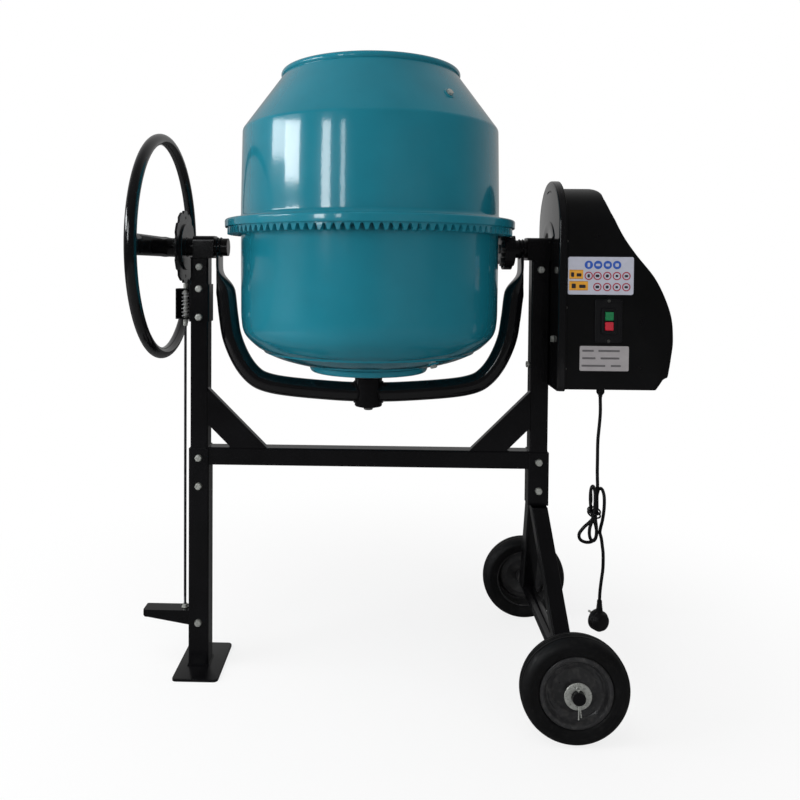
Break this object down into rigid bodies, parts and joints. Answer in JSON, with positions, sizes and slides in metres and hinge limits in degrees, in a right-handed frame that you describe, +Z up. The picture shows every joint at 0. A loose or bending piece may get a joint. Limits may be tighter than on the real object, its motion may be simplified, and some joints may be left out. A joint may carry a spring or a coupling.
{
  "type": "concrete mixer",
  "caption": "Electric tilting-drum concrete mixer on a wheeled stand, with a hand wheel, a foot-pedal lock and a ring-gear drive.",
  "frame": {"origin": "on the floor under the middle of the machine's length and width", "axes": "+X along the tilt axis from the hand wheel to the motor, +Y from the switch's side to the far side, +Z up through the drum's mouth"},
  "size_m": [1.156, 0.644, 1.3445],
  "materials": {
    "frame_paint": "gloss black powder coat",
    "drum_paint": "gloss teal blue enamel",
    "zinc": "bright zinc plate",
    "steel": "machined steel",
    "cover_plastic": "semi-matte moulded black",
    "motor_aluminium": "cast, dull",
    "belt_rubber": "matte",
    "label_plastic": "printed film",
    "cord_rubber": "satin black",
    "tyre_rubber": "matte black",
    "rim_paint": "dark grey enamel",
    "green_plastic": "gloss",
    "red_plastic": "gloss"
  },
  "bodies": {
    "frame": {"left_upright": "frame_paint", "right_upright": "frame_paint", "crossbar": "frame_paint", "left_gusset": "frame_paint", "right_gusset": "frame_paint", "left_leg": "frame_paint", "foot_plate": "frame_paint", "stand_sleeve": "frame_paint", "front_stand_leg": "frame_paint", "rear_stand_leg": "frame_paint", "axle_tube": "frame_paint", "axle": "steel", "left_bearing_housing": "frame_paint", "right_bearing_housing": "frame_paint", "frame_bolts": "zinc", "spring_bracket": "frame_paint", "casing_back": "frame_paint", "casing_cover": "cover_plastic", "casing_screws": "zinc", "motor": "motor_aluminium", "motor_bracket": "frame_paint", "drive_belt": "belt_rubber", "switch_plate": "cover_plastic", "casing_labels": "label_plastic", "cable_gland": "cord_rubber", "power_cord": "cord_rubber", "cord_hank": "cord_rubber", "cord_tail": "cord_rubber", "plug": "cord_rubber", "wheel_washers": "zinc", "cotter_pins": "zinc", "lock_spring": "steel"},
    "yoke": {"yoke_tube": "frame_paint", "hub_tube": "frame_paint", "yoke_bearings": "steel", "left_pivot_tube": "frame_paint", "right_pivot_tube": "frame_paint", "lock_disc": "frame_paint", "hand_wheel": "frame_paint", "hand_wheel_bolt": "zinc", "pinion_guard": "frame_paint"},
    "drum": {"lower_drum": "drum_paint", "upper_drum": "drum_paint", "ring_gear": "drum_paint", "bottom_disc": "drum_paint", "mixing_blades": "drum_paint", "drum_bolts": "zinc", "drum_shaft": "steel"},
    "drive": {"drive_shaft": "steel", "pinion": "steel", "large_pulley": "motor_aluminium"},
    "rotor": {"motor_rotor": "steel"},
    "front_wheel": {"front_tyre": "tyre_rubber", "front_rim": "rim_paint"},
    "rear_wheel": {"rear_tyre": "tyre_rubber", "rear_rim": "rim_paint"},
    "pedal": {"foot_pedal": "frame_paint"},
    "lock_pin": {"pull_rod": "zinc"},
    "start": {"start_button": "green_plastic"},
    "stop": {"stop_button": "red_plastic"}
  },
  "joints": [
    {"name": "yoke_tilt", "type": "hinge", "parent": "frame", "child": "yoke", "pos_m": [-0.066, 0, 0.955], "axis": [1, 0, 0], "range_deg": [-180, 180]},
    {"name": "drum_spin", "type": "hinge", "parent": "yoke", "child": "drum", "pos_m": [-0.066, 0, 0.955], "axis": [0, 0, 1], "continuous": true},
    {"name": "drive_spin", "type": "hinge", "parent": "yoke", "child": "drive", "pos_m": [0.3, 0, 0.955], "axis": [1, 0, 0], "continuous": true},
    {"name": "rotor_spin", "type": "hinge", "parent": "frame", "child": "rotor", "pos_m": [0.4, 0, 0.76], "axis": [1, 0, 0], "continuous": true},
    {"name": "front_wheel_spin", "type": "hinge", "parent": "frame", "child": "front_wheel", "pos_m": [0.339, -0.265, 0.105], "axis": [0, 1, 0], "continuous": true},
    {"name": "rear_wheel_spin", "type": "hinge", "parent": "frame", "child": "rear_wheel", "pos_m": [0.339, 0.265, 0.105], "axis": [0, 1, 0], "continuous": true},
    {"name": "pedal_press", "type": "hinge", "parent": "frame", "child": "pedal", "pos_m": [-0.448, 0, 0.103], "axis": [0, -1, 0], "range_deg": [0, 22], "stiffness_Nm_per_rad": 8, "springref_deg": -17.19},
    {"name": "lock_slide", "type": "slide", "parent": "frame", "child": "lock_pin", "axis": [0, 0, -1], "range_m": [0, 0.007], "stiffness_N_per_m": 900, "springref_m": -0.01, "deforming": ["lock_spring"]},
    {"name": "start_press", "type": "slide", "parent": "frame", "child": "start", "axis": [0, 1, 0], "range_m": [0, 0.003], "stiffness_N_per_m": 500, "springref_m": -0.002},
    {"name": "stop_press", "type": "slide", "parent": "frame", "child": "stop", "axis": [0, 1, 0], "range_m": [0, 0.003], "stiffness_N_per_m": 500, "springref_m": -0.002}
  ],
  "couplings": [
    {"joint": "drive_spin", "follows": "drum_spin", "ratio": -9.1667},
    {"joint": "rotor_spin", "follows": "drum_spin", "ratio": -84.912},
    {"joint": "lock_slide", "follows": "pedal_press", "m_per_rad": 0.018}
  ]
}
